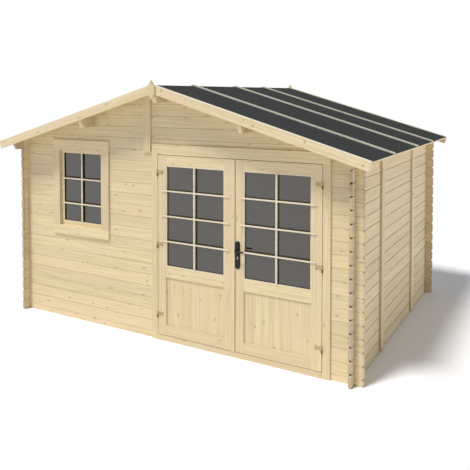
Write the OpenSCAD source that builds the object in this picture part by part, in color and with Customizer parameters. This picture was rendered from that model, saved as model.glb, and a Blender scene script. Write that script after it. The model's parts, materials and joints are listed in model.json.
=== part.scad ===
// Log cabin: interlocking log walls, a low gable roof, a glazed double door and one window.
// Millimetres. X runs along the front, Y runs to the back, Z is up.
// The origin is on the ground at the middle of the plan. The front wall faces -Y.

/* [Logs] */
// Thickness of a wall log
log_t = 28; // [24:1:36]
// Height of one course of logs
log_h = 114; // [108:1:120]
// Length of the logs in the front and back walls
front_log_len = 4000; // [3900:10:4400]
// Length of the logs in the side walls
side_log_len = 3000; // [2600:10:3400]
// How far a log end stands out past the wall that it crosses
log_over = 82; // [60:1:110]
// Courses in a side wall
side_courses = 17; // [16:1:18]
// Corner cut on a log end
end_cut = 17; // [6:1:20]
// Bevel along the edges of a log, which makes the groove at each joint
edge_bevel = 3; // [1:0.5:5]
// Width of the tongue on top of a log
tongue_w = 9; // [6:0.5:11]
// Height of the tongue on top of a log
tongue_h = 7; // [4:0.5:9]
// Width of the hollow at the end of a joint, where the tongue stops short
hollow_w = 14; // [8:1:18]
// Height of the hollow at the end of a joint
hollow_h = 16; // [8:1:24]
// Depth of the hollow at the end of a joint
hollow_in = 45; // [25:1:60]
// Clearance round tongues, corner notches and purlin slots
fit_gap = 0.3; // [0.2:0.1:0.8]

/* [Roof] */
// Pitch of the roof in degrees
roof_pitch = 16.37; // [14:0.1:20]
// Thickness of the roof boards
deck_t = 18; // [15:1:24]
// Thickness of the roofing felt
felt_t = 3; // [2:0.5:5]
// Reach of the roof boards past a side wall, measured level
eave_over = 180; // [120:5:240]
// Reach of the roof boards past the front and back walls
gable_over = 197; // [150:1:260]
// Width of a bargeboard
barge_w = 88; // [75:1:120]
// Thickness of a bargeboard
barge_t = 20; // [15:1:26]
// Height of a bargeboard above the felt
barge_rise = 10; // [5:1:20]
// Reach of a bargeboard past the eave
barge_past = 8; // [2:1:20]
// Height of the diamond at the peak
finial_h = 188; // [150:1:220]
// Width of the diamond at the peak
finial_w = 84; // [70:1:130]
// Length of the upright sides of the diamond
finial_side = 56; // [20:1:80]
// Drop of the diamond below the middle of the bargeboards
finial_drop = 11; // [0:1:30]
// Thickness of the diamond at the peak
finial_t = 17; // [12:1:22]
// Width of a purlin
purlin_w = 44; // [36:1:60]
// Depth of a purlin at its highest edge
purlin_h = 142; // [120:1:170]
// Distance of the side purlins from the ridge
purlin_x = 928; // [800:1:1000]
// Length of the sloping cut under the end of a purlin
nose_len = 32; // [15:1:50]
// Height of the sloping cut under the end of a purlin
nose_rise = 54; // [30:1:70]
// Width of the laths that hold the felt down
lath_w = 26; // [18:1:40]
// Thickness of the laths that hold the felt down
lath_t = 14; // [8:1:20]
// Place of the first lath, counted from the middle of the roof
lath_1 = -885; // [-1200:5:-700]
// Place of the second lath
lath_2 = 40; // [-300:5:300]
// Place of the third lath
lath_3 = 785; // [500:5:1000]

/* [Wall boards] */
// Width of the upright battens on the side walls
batten_w = 95; // [70:1:120]
// Thickness of the upright battens and of the gable board
batten_t = 20; // [14:1:28]
// Distance of the upright battens from the middle of a side wall
batten_y = 615; // [450:5:750]
// Height of the foot of an upright batten above the ground
batten_foot = 20; // [5:1:60]
// Gap between the top of an upright batten and the roof
batten_top_gap = 30; // [10:1:60]
// Width of the gable board
gable_board_w = 88; // [70:1:100]
// Gap between the gable board and the door frame
gable_board_gap = 18; // [5:1:40]
// Drop of the foot of the gable board below the top of the doorway
gable_board_drop = 19; // [5:1:60]

/* [Door] */
// Share of the plain front wall that lies right of the door frame
door_gap_share = 0.158; // [0.1:0.002:0.3]
// Clear width between the door jambs
door_clear_w = 1722; // [1500:1:2000]
// Thickness of the web of a jamb between the log ends and the leaves
jamb_t = 27; // [22:1:34]
// Width of the face of a jamb
jamb_face_w = 69; // [55:1:80]
// Thickness of the web of the head over the leaves
head_t = 36; // [25:1:45]
// Height of the face of a head above the opening in the logs
head_lap = 64; // [40:1:75]
// Thickness of the jamb faces on the wall
face_t = 18; // [14:1:24]
// Height of the sill
sill_h = 50; // [30:1:55]
// Width of the stop that the leaves close against
stop_w = 14; // [8:1:18]
// Running gap round a leaf
leaf_gap = 5; // [5:0.5:7]
// Thickness of a leaf
leaf_t = 40; // [34:1:44]
// Middle of the gap between the two leaves, counted from the middle of the doorway
meeting_shift = 14; // [0:1:30]
// Width of a stile on the hinge side
hinge_stile_w = 98; // [80:1:120]
// Width of the meeting stile of the left leaf, which carries the cover strip
left_meeting_stile_w = 114; // [90:1:130]
// Width of the meeting stile of the right leaf, which carries the handle
right_meeting_stile_w = 86; // [70:1:110]
// Height of the bottom rail
bottom_rail_h = 103; // [80:1:130]
// Height of the board panel
panel_h = 478; // [400:1:560]
// Height of the lock rail
lock_rail_h = 109; // [90:1:140]
// Height of the top rail
top_rail_h = 102; // [90:1:130]
// Thickness of the board panel
panel_t = 16; // [12:1:20]
// Depth of the board panel and the glass in the grooves of a leaf
groove_in = 8; // [5:0.5:12]
// Thickness of the glass
glass_t = 4; // [3:0.5:6]
// Depth of the door glass behind the face of a leaf
door_glass_set = 16; // [10:1:22]
// Width of the cover strip on the left leaf
strip_w = 44; // [30:1:60]
// Thickness of the cover strip on the left leaf
strip_t = 9; // [5:1:14]

/* [Hinges] */
// Height of a hinge
hinge_h = 56; // [50:1:80]
// Radius of a hinge knuckle
knuckle_r = 7; // [6:0.5:9]
// Radius of a hinge pin
pin_r = 4; // [3:0.25:5]
// Width of a hinge plate
plate_w = 64; // [35:1:75]
// Height of a hinge plate on the leaf
plate_h = 36; // [24:1:50]
// Thickness of a hinge plate
plate_t = 3; // [2:0.5:4]
// Height of the lowest hinge
hinge_low = 250; // [180:5:320]
// Height of the middle hinge
hinge_mid = 945; // [850:5:1050]
// Distance of the top hinge below the top of a leaf
hinge_top_drop = 180; // [120:5:260]

/* [Handle] */
// Width of the handle plates
handle_w = 48; // [40:1:56]
// Length of the handle plates
handle_len = 256; // [220:1:300]
// Thickness of the handle plates
handle_t = 6; // [4:0.5:8]
// Distance of the handle from the meeting edge of the right leaf
handle_in = 25; // [25:1:40]
// Height of the lever above the ground
lever_z = 1009; // [940:1:1040]
// Height of the lever above the middle of the handle plates
lever_up = 49; // [0:1:60]
// Radius of the lever
lever_r = 8; // [6:0.5:9]
// Length of the lever
lever_len = 90; // [70:1:130]
// Distance from the leaf's face to the middle of the outer lever
lever_out = 68; // [40:1:75]
// Distance from the leaf's back to the middle of the inner lever
lever_out_inside = 54; // [40:1:60]
// Radius of the spindle
spindle_r = 5; // [4:0.5:6]

/* [Window] */
// Share of the plain front wall that lies left of the window
window_gap_share = 0.352; // [0.25:0.002:0.45]
// Width of the opening in the logs
window_hole_w = 646; // [560:1:760]
// Course that the window stands on
window_course = 8; // [7:1:9]
// Width of the casing face past the opening, at the sides
casing_lap = 69; // [40:1:80]
// Height of the casing face past the opening, below
casing_foot = 53; // [30:1:70]
// Thickness of the casing face on the wall
casing_t = 20; // [14:1:26]
// Thickness of the web of the casing at the sides
casing_web = 27; // [20:1:34]
// Thickness of the web of the casing above
casing_head_web = 55; // [30:1:65]
// Thickness of the web of the casing below
casing_sill_web = 41; // [25:1:55]
// Width of the sash at the sides
sash_w = 35; // [28:1:50]
// Width of the sash above
sash_head = 25; // [20:1:40]
// Width of the sash below
sash_foot = 48; // [35:1:60]
// Thickness of the sash
sash_t = 31; // [26:1:36]
// Depth of the sash behind the casing face
sash_set = 37; // [25:1:40]

/* [Floor] */
// Thickness of the floor boards
floor_t = 19; // [15:1:28]
// Height of the floor bearers
bearer_h = 38; // [30:1:60]
// Width of the floor bearers
bearer_w = 58; // [40:1:80]
// Number of floor bearers
bearer_count = 6; // [4:1:9]

/* [Hidden] */
$fn = 48;
wood = "burlywood";
pale_wood = "wheat";
steel_black = "dimgray";
hinge_brass = "darkkhaki";
felt_grey = "darkslategray";
pane_grey = "slategray";

// Wall planes
half_x = front_log_len / 2 - log_over;
half_y = side_log_len / 2 - log_over;
front_y = -half_y;
in_x = half_x - log_t;
in_y = half_y - log_t;
wall_h = side_courses * log_h;
notch = log_h / 4;
stagger = log_h / 2;

// Roof planes: s runs down the slope from the ridge, h stands square to it from the boards' underside
ridge_z = wall_h + half_x * tan(roof_pitch);
deck_s = (half_x + eave_over) / cos(roof_pitch);
deck_y = half_y + gable_over;
felt_top = deck_t + felt_t;
function on_slope(s, h) = [s * cos(roof_pitch) + h * sin(roof_pitch),
                           ridge_z - s * sin(roof_pitch) + h * cos(roof_pitch)];
function slope_at(x, h) = (x - h * sin(roof_pitch)) / cos(roof_pitch);
function under_roof(x) = ridge_z - abs(x) * tan(roof_pitch);
sky = 2 * ridge_z;
purlin_in = purlin_x - purlin_w / 2;
purlin_z = under_roof(purlin_in) - purlin_h;
ridge_purlin_z = ridge_z - purlin_h;
barge_top = felt_top + barge_rise;
barge_low = barge_top - barge_w;
finial_z = ridge_z + (barge_top + barge_low) / 2 / cos(roof_pitch) - finial_drop;
lath_saw_cut = 1;
least_tip = 60;

// Front courses start with a half log, so the joints of crossing walls alternate
front_courses = ceil((ridge_z - stagger) / log_h);
function front_z(k) = k == 0 ? 0 : stagger + (k - 1) * log_h;
function front_h(k) = k == 0 ? stagger : log_h;
opening_top = front_z(side_courses);

// The door frame and the window share the front wall, with plain logs left, between and right of them
frame_w = door_clear_w + 2 * jamb_face_w;
casing_w = window_hole_w + 2 * casing_lap;
plain_wall = 2 * in_x - frame_w - casing_w;
door_x = in_x - door_gap_share * plain_wall - frame_w / 2;
window_x = window_gap_share * plain_wall + casing_w / 2 - in_x;

// Doorway
jamb_x = door_clear_w / 2;
hole_x = jamb_x + jamb_t;
door_face_y = front_y - face_t;
frame_back_y = front_y + log_t + face_t;
leaf_left = door_x - jamb_x + leaf_gap;
leaf_right = door_x + jamb_x - leaf_gap;
meeting_x = door_x + meeting_shift;
meeting_left = meeting_x - leaf_gap / 2;
meeting_right = meeting_x + leaf_gap / 2;
leaf_z = sill_h + leaf_gap;
head_z = opening_top - head_t;
leaf_top = head_z - leaf_gap;
leaf_back_y = door_face_y + leaf_t;
stop_y = leaf_back_y + leaf_gap;
panel_z = leaf_z + bottom_rail_h;
lock_z = panel_z + panel_h;
glass_z = lock_z + lock_rail_h;
glass_top = leaf_top - top_rail_h;
left_light = [leaf_left + hinge_stile_w, meeting_left - left_meeting_stile_w];
right_light = [meeting_right + right_meeting_stile_w, leaf_right - hinge_stile_w];
glass_y = door_face_y + door_glass_set;
panel_y = door_face_y + (leaf_t - panel_t) / 2;

// Hinges stand on the faces of leaf and jamb, with the axis in the gap between them
knuckle_stand = 1;
axis_y = door_face_y - knuckle_r - knuckle_stand;
left_axis_x = leaf_left - leaf_gap / 2;
right_axis_x = leaf_right + leaf_gap / 2;
hinge_heights = [hinge_low, hinge_mid, leaf_top - hinge_top_drop];
pin_gap = 0.1;
knuckle_gap = 0.5;
plate_clear = 3;
pin_tip = 2;
tab_in = 28;

// Handle
handle_x = meeting_right + handle_in;
handle_z = lever_z - lever_up;
lever_clear = 1;
stile_clear = 3;
bend_clear = 4;
lever_bore_r = lever_r + lever_clear;
stile_bore_r = lever_r + stile_clear;
lever_bend = lever_r + bend_clear;

// Window
window_half = window_hole_w / 2;
window_z = front_z(window_course + 1);
window_clear = window_half - casing_web;
window_low = window_z + casing_sill_web;
window_high = opening_top - casing_head_web;
casing_y = front_y - casing_t;
casing_back_y = front_y + log_t + casing_t;
sash_y = casing_y + sash_set;
pane_x = window_clear - sash_w;
pane_low = window_low + sash_foot;
pane_high = window_high - sash_head;
sash_glass_y = sash_y + (sash_t - glass_t) / 2;

// Floor
floor_z = bearer_h + floor_t;

// Small helpers

// A block between two corners
module block(low, high) {
    translate(low) cube(high - low);
}

// Both of a pair that mirror each other across the middle of the cabin
module both_x() {
    children();
    mirror([1, 0, 0]) children();
}

module both_y() {
    children();
    mirror([0, 1, 0]) children();
}

// Everything above the underside of the roof boards
module sky_over_roof() {
    reach = front_log_len;
    rotate([90, 0, 0])
        linear_extrude(2 * side_log_len, center = true)
            polygon([[0, ridge_z], [reach, under_roof(reach)], [reach, sky],
                     [-reach, sky], [-reach, under_roof(reach)]]);
}

// A strip of one roof slope down to s_end, from h0 to h1 above the boards' underside, cut plumb at x0
module slope_strip(x0, s_end, h0, h1, y0, y1) {
    translate([0, y1, 0])
        rotate([90, 0, 0])
            linear_extrude(y1 - y0)
                polygon([on_slope(slope_at(x0, h0), h0), on_slope(s_end, h0),
                         on_slope(s_end, h1), on_slope(slope_at(x0, h1), h1)]);
}

// Logs

// Elevation of a log from its middle to its right end, anticlockwise from the bottom.
// low and top are the corner cuts of the end, floor_low and floor_top are the floors of the
// notches over the crossing wall, and rib is the height of the tongue.
function half_log(half, z0, z1, cross, low, top, floor_low, floor_top, rib) =
    let (n0 = cross - log_t / 2 - fit_gap, n1 = cross + log_t / 2 + fit_gap)
    [each (is_undef(floor_low) ? [] : [[n0, z0], [n0, floor_low], [n1, floor_low], [n1, z0]]),
     [half - low.x, z0], [half, z0 + low.y], [half, z1 - top.y],
     each (top.x > 0 ? [[half - top.x, z1]] : []),
     each (rib > 0 ? [[half - top.x, z1 + rib]] : []),
     each (is_undef(floor_top) ? [] : [[n1, z1 + rib], [n1, floor_top], [n0, floor_top], [n0, z1 + rib]])];

function mirrored(points) =
    [for (i = [len(points) - 1 : -1 : 0]) [-points[i].x, points[i].y]];

// Section of a log: bevelled edges, a tongue on top and a groove below
module log_section(z0, z1, rib, slot) {
    mid = log_t / 2;
    tongue = tongue_w / 2;
    groove = tongue + fit_gap;
    b = edge_bevel;
    below = slot > 0 ? [[mid - groove, z0], [mid - groove, z0 + slot],
                        [mid + groove, z0 + slot], [mid + groove, z0]] : [];
    above = rib > 0 ? [[mid + tongue, z1], [mid + tongue, z1 + rib],
                       [mid - tongue, z1 + rib], [mid - tongue, z1]] : [];
    polygon([[b, z0], each below, [log_t - b, z0], [log_t, z0 + b], [log_t, z1 - b],
             [log_t - b, z1], each above, [b, z1], [0, z1 - b], [0, z0 + b]]);
}

// The hollows at both ends of a joint between two logs
module joint_hollows(half, z) {
    for (end = [-half, half])
        translate([end, log_t / 2, z])
            cube([2 * hollow_in, hollow_w, hollow_h], center = true);
}

// One log along X with its outer face on y = 0: its elevation crossed with its section
module log_bar(half, z0, z1, cross, low, top, floor_low, floor_top, tongued, grooved) {
    rib = tongued ? tongue_h : 0;
    slot = grooved ? tongue_h + fit_gap : 0;
    outline = half_log(half, z0, z1, cross, low, top, floor_low, floor_top, rib);
    difference() {
        intersection() {
            translate([0, log_t, 0])
                rotate([90, 0, 0])
                    linear_extrude(log_t)
                        polygon(concat(outline, mirrored(outline)));
            rotate([90, 0, 90])
                linear_extrude(2 * half, center = true)
                    log_section(z0, z1, rib, slot);
        }
        if (top.x > 0) {
            if (grooved) joint_hollows(half, z0);
            if (tongued) joint_hollows(half, z1);
        }
    }
}

// A log of the front or back wall. Above the eaves it is cut to the roof and round the purlins.
module front_log(k) {
    z0 = front_z(k);
    z1 = z0 + front_h(k);
    square_end = [end_cut, end_cut];
    below_eave = k < side_courses;
    roof_reach = (ridge_z - z0) / tan(roof_pitch);
    no_tip = roof_reach > purlin_in && roof_reach < purlin_in + purlin_w + least_tip;
    difference() {
        translate([0, front_y, 0])
            log_bar(no_tip ? purlin_in : front_log_len / 2, z0, z1, in_x + log_t / 2,
                    square_end, below_eave ? square_end : [0, 0],
                    k > 0 && k <= side_courses ? z0 + notch : undef,
                    below_eave ? z1 - notch : undef, true, k > 0);
        if (!below_eave) {
            sky_over_roof();
            purlin_slots();
        }
    }
}

module purlin_slot(x, z) {
    block([x - fit_gap, -side_log_len, z], [x + purlin_w + fit_gap, side_log_len, sky]);
}

// Room for the three purlins in what stands under the roof
module purlin_slots() {
    both_x() purlin_slot(purlin_in, purlin_z);
    purlin_slot(-purlin_w / 2, ridge_purlin_z);
}

// A log of the right wall. The top one runs out to the bargeboards and is planed to the roof.
module side_log(j) {
    z0 = j * log_h;
    topmost = j == side_courses - 1;
    z1 = topmost ? wall_h + log_t * tan(roof_pitch) : z0 + log_h;
    difference() {
        translate([half_x, 0, 0])
            rotate([0, 0, 90])
                log_bar(topmost ? deck_y : side_log_len / 2, z0, z1, in_y + log_t / 2,
                        topmost ? [nose_len, nose_rise] : [end_cut, end_cut],
                        topmost ? [0, 0] : [end_cut, end_cut],
                        z0 + notch, z0 + log_h - notch, !topmost, j > 0);
        if (topmost) sky_over_roof();
    }
}

// Room for a frame in the front wall, from z up to the top of the openings
module wall_hole(x, half, z) {
    block([x - half, -side_log_len, z], [x + half, 0, opening_top]);
}

module front_wall(parity) {
    for (k = [parity : 2 : front_courses - 1])
        if (k < side_courses)
            difference() {
                front_log(k);
                wall_hole(door_x, hole_x, -log_h);
                wall_hole(window_x, window_half, window_z);
            }
        else
            front_log(k);
}

module back_wall(parity) {
    mirror([0, 1, 0])
        for (k = [parity : 2 : front_courses - 1])
            front_log(k);
}

module side_wall(parity) {
    for (j = [parity : 2 : side_courses - 1])
        side_log(j);
}

module front_wall_even_courses() { color(wood) front_wall(0); }
module front_wall_odd_courses() { color(wood) front_wall(1); }
module back_wall_even_courses() { color(wood) back_wall(0); }
module back_wall_odd_courses() { color(wood) back_wall(1); }
module left_wall_even_courses() { color(wood) mirror([1, 0, 0]) side_wall(0); }
module left_wall_odd_courses() { color(wood) mirror([1, 0, 0]) side_wall(1); }
module right_wall_even_courses() { color(wood) side_wall(0); }
module right_wall_odd_courses() { color(wood) side_wall(1); }

// Roof

// A purlin along Y with sloping cuts under its ends, planed to the roof
module purlin(x, z) {
    difference() {
        translate([x, 0, 0])
            rotate([90, 0, 90])
                linear_extrude(purlin_w)
                    polygon([[nose_len - deck_y, z], [deck_y - nose_len, z], [deck_y, z + nose_rise],
                             [deck_y, z + purlin_h], [-deck_y, z + purlin_h], [-deck_y, z + nose_rise]]);
        sky_over_roof();
    }
}

module ridge_purlin() { color(wood) purlin(-purlin_w / 2, ridge_purlin_z); }
module side_purlins() { color(wood) both_x() purlin(purlin_in, purlin_z); }

module roof_boards() { slope_strip(0, deck_s, 0, deck_t, -deck_y, deck_y); }
module roof_boards_left() { color(pale_wood) mirror([1, 0, 0]) roof_boards(); }
module roof_boards_right() { color(pale_wood) roof_boards(); }

module roof_felt() { slope_strip(0, deck_s, deck_t, felt_top, -deck_y, deck_y); }
module roof_felt_left() { color(felt_grey) mirror([1, 0, 0]) roof_felt(); }
module roof_felt_right() { color(felt_grey) roof_felt(); }

// Laths down both slopes, with a saw cut between them at the ridge
module felt_laths() {
    color(pale_wood)
        both_x()
            for (y = [lath_1, lath_2, lath_3])
                slope_strip(lath_saw_cut, deck_s, felt_top, felt_top + lath_t,
                            y - lath_w / 2, y + lath_w / 2);
}

// The front and back boards of the right slope
module bargeboards() {
    both_y() slope_strip(0, deck_s + barge_past, barge_low, barge_top, deck_y, deck_y + barge_t);
}

module bargeboards_left() { color(pale_wood) mirror([1, 0, 0]) bargeboards(); }
module bargeboards_right() { color(pale_wood) bargeboards(); }

module gable_diamonds() {
    color(pale_wood)
        both_y()
            translate([0, deck_y + barge_t + finial_t, finial_z])
                rotate([90, 0, 0])
                    linear_extrude(finial_t)
                        polygon([[finial_w / 2, -finial_side / 2], [finial_w / 2, finial_side / 2],
                                 [0, finial_h / 2], [-finial_w / 2, finial_side / 2],
                                 [-finial_w / 2, -finial_side / 2], [0, -finial_h / 2]]);
}

// Boards on the walls

module gable_board() {
    right = door_x - frame_w / 2 - gable_board_gap;
    color(pale_wood)
        difference() {
            block([right - gable_board_w, front_y - batten_t, opening_top - gable_board_drop],
                  [right, front_y, ridge_z]);
            sky_over_roof();
            purlin_slots();
        }
}

module side_wall_battens() {
    outer = half_x + batten_t;
    color(pale_wood)
        both_x()
            both_y()
                block([half_x, batten_y - batten_w / 2, batten_foot],
                      [outer, batten_y + batten_w / 2, under_roof(outer) - batten_top_gap]);
}

// Floor

module floor_bearers() {
    step = (2 * in_x - bearer_w) / (bearer_count - 1);
    color(wood)
        for (i = [0 : bearer_count - 1])
            translate([i * step - in_x, frame_back_y, 0])
                cube([bearer_w, in_y - frame_back_y, bearer_h]);
}

module floor_boards() {
    color(pale_wood) block([-in_x, frame_back_y, bearer_h], [in_x, in_y, floor_z]);
}

// Frames that grip the log ends

// Left upright of a frame: a channel with its web on x = 0 and its faces lapped over the logs
module channel_post(web, lap, face, z0, z1) {
    out = front_y - face;
    back = front_y + log_t + face;
    translate([0, 0, z0])
        linear_extrude(z1 - z0)
            polygon([[-lap, out], [web, out], [web, back], [-lap, back],
                     [-lap, front_y + log_t], [0, front_y + log_t], [0, front_y], [-lap, front_y]]);
}

// Cross piece of a frame: a web between the log ends, and faces that run over the uprights
module channel_rail(half, lap, face, web_low, web_high, face_low, face_high) {
    block([-half, front_y, web_low], [half, front_y + log_t, web_high]);
    for (y = [front_y - face, front_y + log_t])
        block([-half - lap, y, face_low], [half + lap, y + face, face_high]);
}

// Both uprights of a frame about its middle
module frame_pair(half) {
    both_x() translate([-half, 0, 0]) children();
}

module window_jambs() {
    color(pale_wood)
        translate([window_x, 0, 0])
            frame_pair(window_half) channel_post(casing_web, casing_lap, casing_t, window_low, window_high);
}

module window_head_and_sill() {
    color(pale_wood)
        translate([window_x, 0, 0]) {
            channel_rail(window_half, casing_lap, casing_t, window_high, opening_top,
                         window_high, opening_top + head_lap);
            channel_rail(window_half, casing_lap, casing_t, window_z, window_low,
                         window_z - casing_foot, window_low);
        }
}

// The pane of the window; grow makes the room for it in the sash
module window_pane(grow) {
    in = groove_in + grow;
    block([window_x - pane_x - in, sash_glass_y - grow, pane_low - in],
          [window_x + pane_x + in, sash_glass_y + glass_t + grow, pane_high + in]);
}

module window_sash() {
    sash_back = sash_y + sash_t;
    color(pale_wood)
        difference() {
            block([window_x - window_clear, sash_y, window_low],
                  [window_x + window_clear, sash_back, window_high]);
            block([window_x - pane_x, sash_y - sash_t, pane_low],
                  [window_x + pane_x, sash_back + sash_t, pane_high]);
            window_pane(fit_gap);
        }
}

module window_glass() { color(pane_grey) window_pane(0); }

// Door frame

module door_jambs() {
    color(pale_wood)
        translate([door_x, 0, 0])
            frame_pair(hole_x) {
                channel_post(jamb_t, jamb_face_w - jamb_t, face_t, 0, head_z);
                block([jamb_t, stop_y, sill_h], [jamb_t + stop_w, frame_back_y, head_z]);
            }
}

module door_head() {
    stop_half = jamb_x - stop_w;
    color(pale_wood)
        translate([door_x, 0, 0]) {
            channel_rail(hole_x, jamb_face_w - jamb_t, face_t, head_z, opening_top,
                         head_z, opening_top + head_lap);
            block([-stop_half, stop_y, head_z - stop_w], [stop_half, frame_back_y, head_z]);
        }
}

module door_sill() {
    color(wood) block([door_x - jamb_x, door_face_y, 0], [door_x + jamb_x, frame_back_y, sill_h]);
}

// Door leaves. light is the left and right edge of a leaf's opening for glass and panel.

module leaf_glass(light, grow) {
    in = groove_in + grow;
    block([light[0] - in, glass_y - grow, glass_z - in],
          [light[1] + in, glass_y + glass_t + grow, glass_top + in]);
}

module leaf_panel(light, grow) {
    in = groove_in + grow;
    block([light[0] - in, panel_y - grow, panel_z - in],
          [light[1] + in, panel_y + panel_t + grow, lock_z + in]);
}

module leaf_grooves(light) {
    leaf_glass(light, fit_gap);
    leaf_panel(light, fit_gap);
}

module leaf_stiles(x_low, light, x_high) {
    difference() {
        for (span = [[x_low, light[0]], [light[1], x_high]])
            block([span[0], door_face_y, leaf_z], [span[1], leaf_back_y, leaf_top]);
        leaf_grooves(light);
    }
}

module leaf_rails(light) {
    difference() {
        for (span = [[leaf_z, panel_z], [lock_z, glass_z], [glass_top, leaf_top]])
            block([light[0], door_face_y, span[0]], [light[1], leaf_back_y, span[1]]);
        leaf_grooves(light);
    }
}

module left_leaf_stiles() { color(pale_wood) leaf_stiles(leaf_left, left_light, meeting_left); }
module left_leaf_rails() { color(wood) leaf_rails(left_light); }
module left_leaf_panel() { color(wood) leaf_panel(left_light, 0); }
module left_leaf_glass() { color(pane_grey) leaf_glass(left_light, 0); }

module left_leaf_strip() {
    color(pale_wood)
        block([meeting_left - strip_w, door_face_y - strip_t, leaf_z],
              [meeting_left, door_face_y, leaf_top]);
}

module right_leaf_stiles() {
    color(pale_wood)
        difference() {
            leaf_stiles(meeting_right, right_light, leaf_right);
            lever_bore(stile_bore_r);
        }
}

module right_leaf_rails() { color(wood) leaf_rails(right_light); }
module right_leaf_panel() { color(wood) leaf_panel(right_light, 0); }
module right_leaf_glass() { color(pane_grey) leaf_glass(right_light, 0); }

// Lift-off hinges, drawn for the left leaf with the axis on x = 0, y = 0 and the middle on z = 0

module hinge_upper_half() {
    face = door_face_y - axis_y;
    low = knuckle_gap / 2;
    difference() {
        union() {
            translate([0, 0, low]) cylinder(h = hinge_h / 2 - low, r = knuckle_r);
            block([0, face - plate_t, low], [knuckle_r + plate_clear, face, hinge_h / 2]);
            block([knuckle_r + plate_clear, face - plate_t, hinge_h / 2 - plate_h],
                  [plate_w, face, hinge_h / 2]);
        }
        cylinder(h = 2 * hinge_h, r = pin_r + pin_gap, center = true);
    }
}

module hinge_lower_half() {
    face = door_face_y - axis_y;
    top = -knuckle_gap / 2;
    translate([0, 0, -hinge_h / 2]) cylinder(h = hinge_h / 2 + top, r = knuckle_r);
    translate([0, 0, -hinge_h / 2]) cylinder(h = hinge_h + pin_tip, r = pin_r);
    block([-leaf_gap / 2, 0, -hinge_h / 2], [0, face + tab_in, top]);
}

module left_hinges() {
    for (z = hinge_heights) translate([left_axis_x, axis_y, z]) children();
}

module right_hinges() {
    for (z = hinge_heights) translate([right_axis_x, axis_y, z]) mirror([1, 0, 0]) children();
}

module left_leaf_hinges() { color(hinge_brass) left_hinges() hinge_upper_half(); }
module right_leaf_hinges() { color(hinge_brass) right_hinges() hinge_upper_half(); }

module jamb_hinges() {
    color(hinge_brass) {
        left_hinges() hinge_lower_half();
        right_hinges() hinge_lower_half();
    }
}

// Handle

// A round hole through the right leaf on the axis of the lever
module lever_bore(r) {
    translate([handle_x, door_face_y + leaf_t / 2, lever_z])
        rotate([90, 0, 0])
            cylinder(h = 3 * leaf_t, r = r, center = true);
}

module handle_outline() {
    end = handle_len / 2 - handle_w / 2;
    square([handle_w, 2 * end], center = true);
    for (z = [-end, end]) translate([0, z]) circle(d = handle_w);
}

module handle_plates() {
    color(steel_black)
        difference() {
            for (y = [door_face_y, leaf_back_y + handle_t])
                translate([handle_x, y, handle_z])
                    rotate([90, 0, 0])
                        linear_extrude(handle_t)
                            handle_outline();
            lever_bore(lever_bore_r);
        }
}

// One side of the lever: a neck out of the leaf, a bend and an arm along X
module lever_arm(out) {
    straight = out - lever_bend;
    rotate([90, 0, 0]) cylinder(h = straight, r = lever_r);
    translate([lever_bend, -straight, 0])
        rotate([0, 0, 180])
            rotate_extrude(angle = 90)
                translate([lever_bend, 0])
                    circle(r = lever_r);
    translate([lever_bend, -out, 0])
        rotate([0, 90, 0]) {
            cylinder(h = lever_len - lever_bend, r = lever_r);
            translate([0, 0, lever_len - lever_bend])
                cylinder(h = lever_r / 2, r1 = lever_r, r2 = lever_r / 2);
        }
}

module door_lever() {
    color(steel_black)
        translate([handle_x, door_face_y, lever_z]) {
            lever_arm(lever_out);
            translate([0, leaf_t, 0]) mirror([0, 1, 0]) lever_arm(lever_out_inside);
            translate([0, leaf_t, 0]) rotate([90, 0, 0]) cylinder(h = leaf_t, r = spindle_r);
        }
}

front_wall_even_courses();
front_wall_odd_courses();
back_wall_even_courses();
back_wall_odd_courses();
left_wall_even_courses();
left_wall_odd_courses();
right_wall_even_courses();
right_wall_odd_courses();
ridge_purlin();
side_purlins();
roof_boards_left();
roof_boards_right();
roof_felt_left();
roof_felt_right();
felt_laths();
bargeboards_left();
bargeboards_right();
gable_diamonds();
gable_board();
side_wall_battens();
floor_bearers();
floor_boards();
window_jambs();
window_head_and_sill();
window_sash();
window_glass();
door_jambs();
door_head();
door_sill();
jamb_hinges();
left_leaf_stiles();
left_leaf_rails();
left_leaf_panel();
left_leaf_glass();
left_leaf_strip();
left_leaf_hinges();
right_leaf_stiles();
right_leaf_rails();
right_leaf_panel();
right_leaf_glass();
right_leaf_hinges();
handle_plates();
door_lever();
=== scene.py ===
# %% [markdown]
# # Dressing a log cabin
# The construction comes in as a fixed frame: every log, board, hinge and pane is already in its place.
# This lesson gives those pieces their finish and adds what a joiner would add on site: the boards of roof,
# floor and door panels, the glazing bars, the beads round the glass, and the screws and nails.
# All lengths are metres, X runs along the front, Y to the back and Z up, with the ground at zero.

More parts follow.
